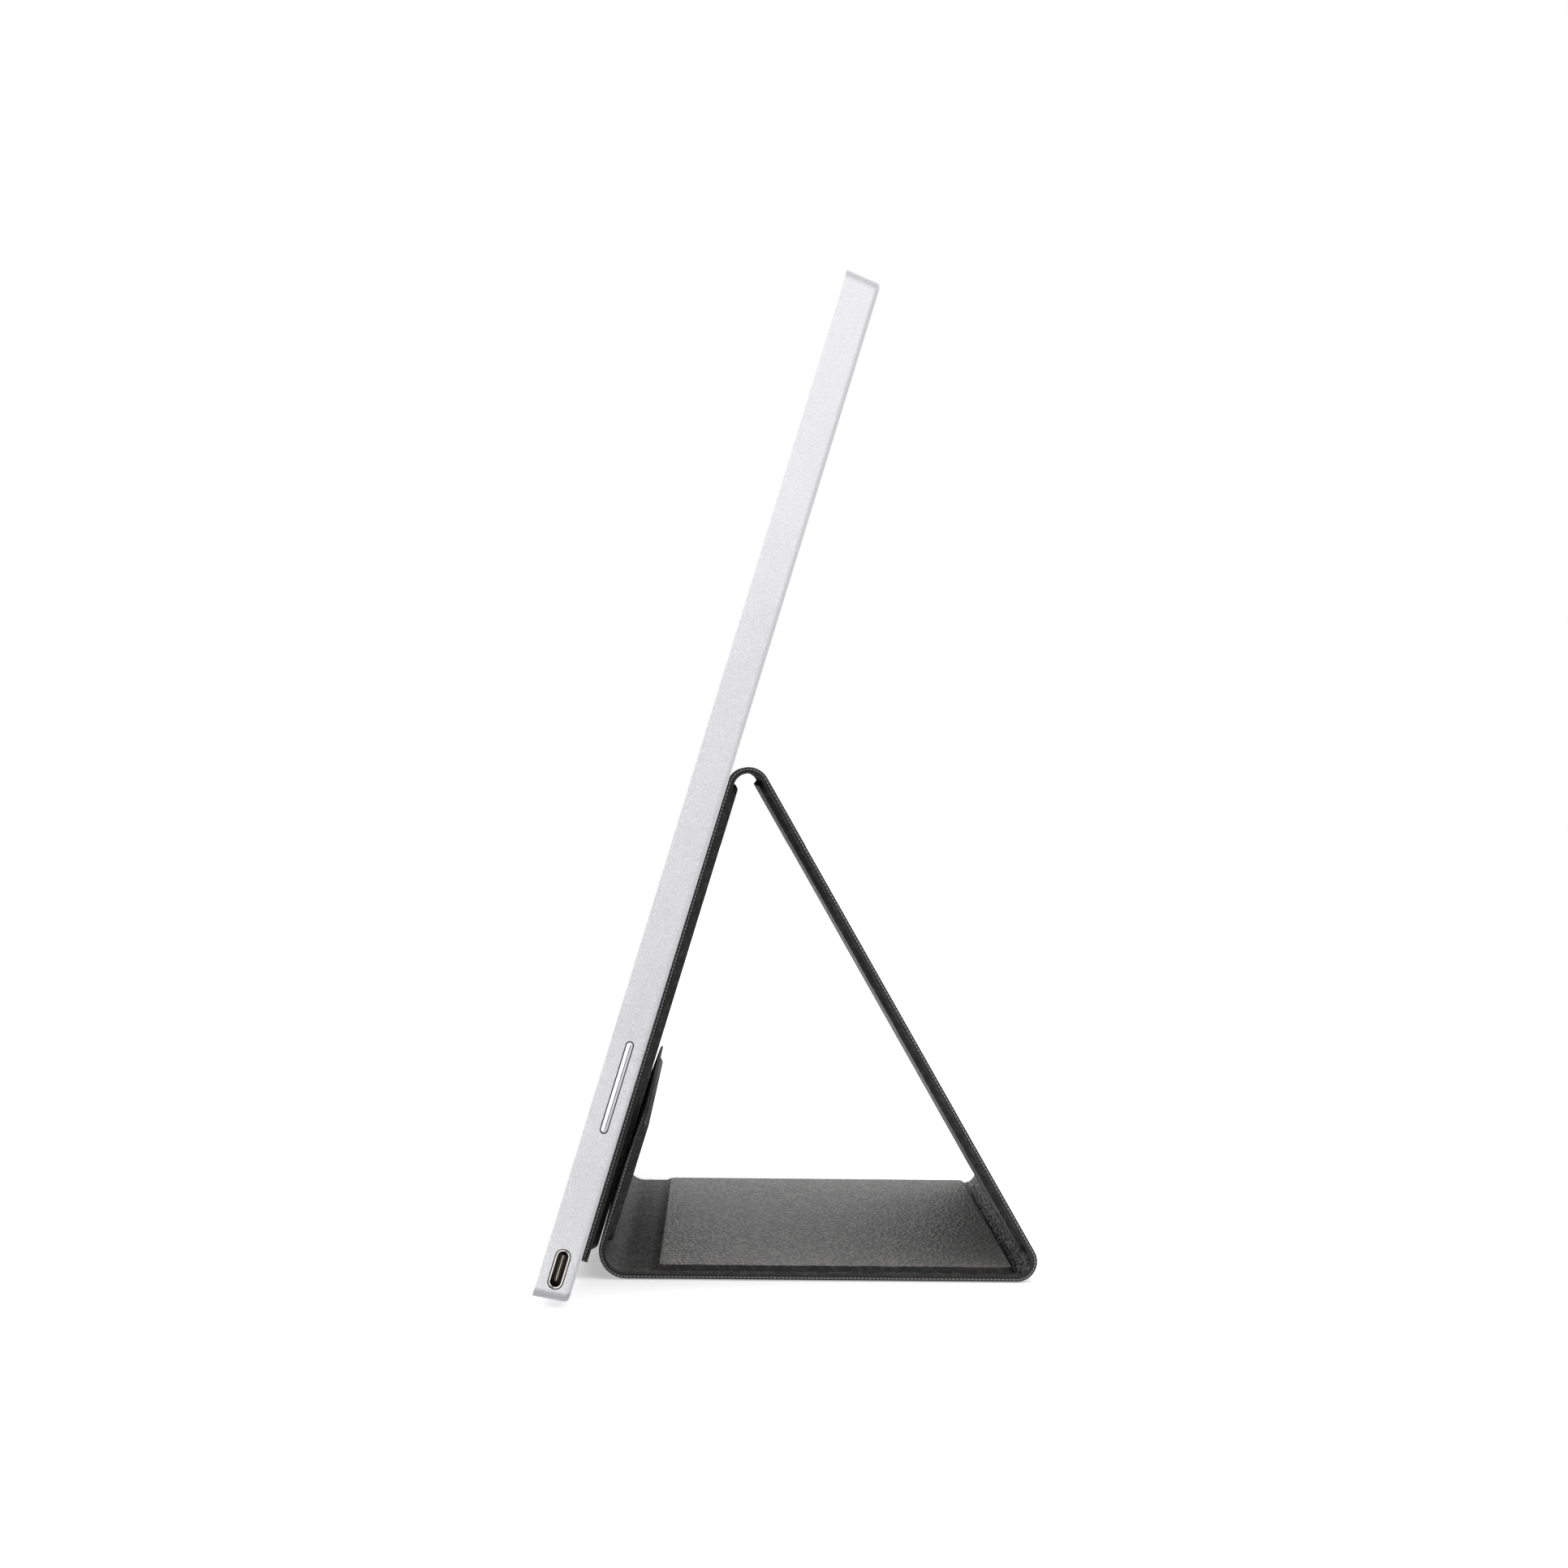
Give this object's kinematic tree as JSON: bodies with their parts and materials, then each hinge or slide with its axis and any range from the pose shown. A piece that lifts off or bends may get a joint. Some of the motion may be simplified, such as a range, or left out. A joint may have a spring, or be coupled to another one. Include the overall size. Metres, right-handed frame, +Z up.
{
  "type": "portable monitor with folding cover",
  "caption": "Slim portable monitor leaning on a folding cover that makes a triangular stand with a base, a strut, a back panel and a flap.",
  "frame": {"origin": "middle of the base panel's underside, on the table", "axes": "+X along the screen's width, the screen faces -Y and leans back towards +Y, +Z up"},
  "size_m": [0.3606, 0.1172, 0.2332],
  "materials": {
    "cover_leather": "fine pebbled imitation leather, dark grey",
    "cover_lining": "grained soft lining, mid grey",
    "fold_lining": "soft napped lining, creased at the folds",
    "stiffening_board": "pressed grey board",
    "anodised_aluminium": "silver, bead blasted and anodised",
    "key_aluminium": "polished and anodised silver",
    "bezel_plastic": "satin black",
    "display_glass": "anti-glare black",
    "optical_film": "milky film",
    "light_guide_acrylic": "clear acrylic sheet",
    "lamp_board": "white board with small lamps",
    "tray_aluminium": "pressed sheet",
    "foam": "soft foam pad",
    "flex_film": "amber flexible circuit",
    "cable_film": "white flat cable",
    "circuit_board": "green circuit board",
    "chip_black": "black moulded packages",
    "tinned_steel": "tinned sheet steel",
    "steel": "plain bright steel",
    "socket_steel": "nickel plated steel",
    "tongue_plastic": "black moulding with plated contacts",
    "switch_plastic": "white moulding"
  },
  "bodies": {
    "base": {"base_skin": "cover_leather", "base_board": "stiffening_board", "base_lining": "cover_lining", "rear_fold_skin": "cover_leather", "rear_fold_lining": "fold_lining", "front_fold_skin": "cover_leather", "front_fold_lining": "fold_lining"},
    "strut": {"strut_skin": "cover_leather", "strut_board": "stiffening_board", "strut_lining": "cover_lining", "top_fold_skin": "cover_leather", "top_fold_lining": "fold_lining"},
    "back_panel": {"back_panel_skin": "cover_leather", "back_panel_board": "stiffening_board", "back_panel_lining": "cover_lining", "back_panel_plates": "steel"},
    "flap": {"flap_skin": "cover_leather", "flap_board": "stiffening_board", "flap_lining": "cover_lining", "flap_magnets": "steel"},
    "key": {"rocker_key": "key_aluminium"},
    "monitor": {"back_cover": "anodised_aluminium", "front_bezel": "bezel_plastic", "display_cell": "display_glass", "diffuser_films": "optical_film", "light_guide": "light_guide_acrylic", "reflector_sheet": "optical_film", "lamp_strip": "lamp_board", "display_tray": "tray_aluminium", "foam_pads": "foam", "driver_flexes": "flex_film", "timing_board": "circuit_board", "link_cable": "cable_film", "main_board": "circuit_board", "main_chips": "chip_black", "shield_can": "tinned_steel", "board_screws": "steel", "monitor_magnets": "steel", "usb_socket_right": "socket_steel", "usb_tongue_right": "tongue_plastic", "usb_socket_left": "socket_steel", "usb_tongue_left": "tongue_plastic", "rocker_pin": "steel", "rocker_bracket": "steel", "rocker_board": "circuit_board", "rocker_switches": "switch_plastic", "rocker_cable": "flex_film"}
  },
  "joints": [
    {"name": "rear_fold", "type": "hinge", "parent": "base", "child": "strut", "pos_m": [0, 0.05083, 0.0022], "axis": [-1, 0, 0], "range_deg": [0, 120], "deforming": ["rear_fold_skin", "rear_fold_lining"]},
    {"name": "top_fold", "type": "hinge", "parent": "strut", "child": "back_panel", "pos_m": [0, -0.01911, 0.12216], "axis": [-1, 0, 0], "range_deg": [0, 133], "deforming": ["top_fold_skin", "top_fold_lining"]},
    {"name": "front_fold", "type": "hinge", "parent": "base", "child": "flap", "pos_m": [0, -0.0496, 0.00408], "axis": [-1, 0, 0], "range_deg": [0, 75], "deforming": ["front_fold_skin", "front_fold_lining"]},
    {"name": "monitor_release", "type": "slide", "parent": "back_panel", "child": "monitor", "axis": [0, -0.9588, 0.284], "range_m": [0, 0.04]},
    {"name": "rocker_key_rock", "type": "hinge", "parent": "monitor", "child": "key", "pos_m": [0.17735, -0.0475, 0.0495], "axis": [0, -0.9588, 0.284], "range_deg": [-1.8, 1.8], "stiffness_Nm_per_rad": 0.3}
  ]
}
